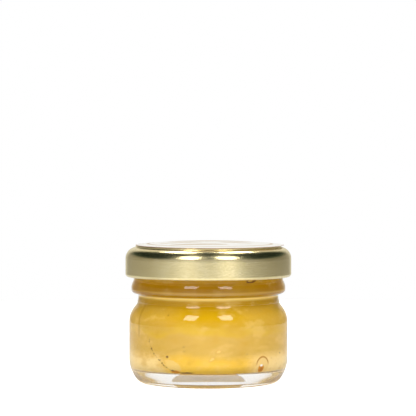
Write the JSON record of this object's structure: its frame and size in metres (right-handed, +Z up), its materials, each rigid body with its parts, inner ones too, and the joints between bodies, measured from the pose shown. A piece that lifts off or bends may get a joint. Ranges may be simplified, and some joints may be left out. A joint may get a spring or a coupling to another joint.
{
  "type": "mustard jar",
  "caption": "Small round clear glass jar filled with pale yellow mustard, shut with a gold twist-off lid that carries a plain white round label.",
  "frame": {"origin": "centre of the circle that the jar stands on, at ground level", "axes": "+Z up the jar's axis, towards the lid; -Y faces the viewer; +X to the right"},
  "size_m": [0.046, 0.046, 0.0391],
  "materials": {
    "clear_glass": "gloss",
    "mustard": "satin",
    "gold_lacquer": "satin",
    "label_paper": "satin"
  },
  "bodies": {
    "root": {"glass_jar": "clear_glass", "mustard": "mustard", "lid": "gold_lacquer", "lid_label": "label_paper"}
  },
  "joints": []
}
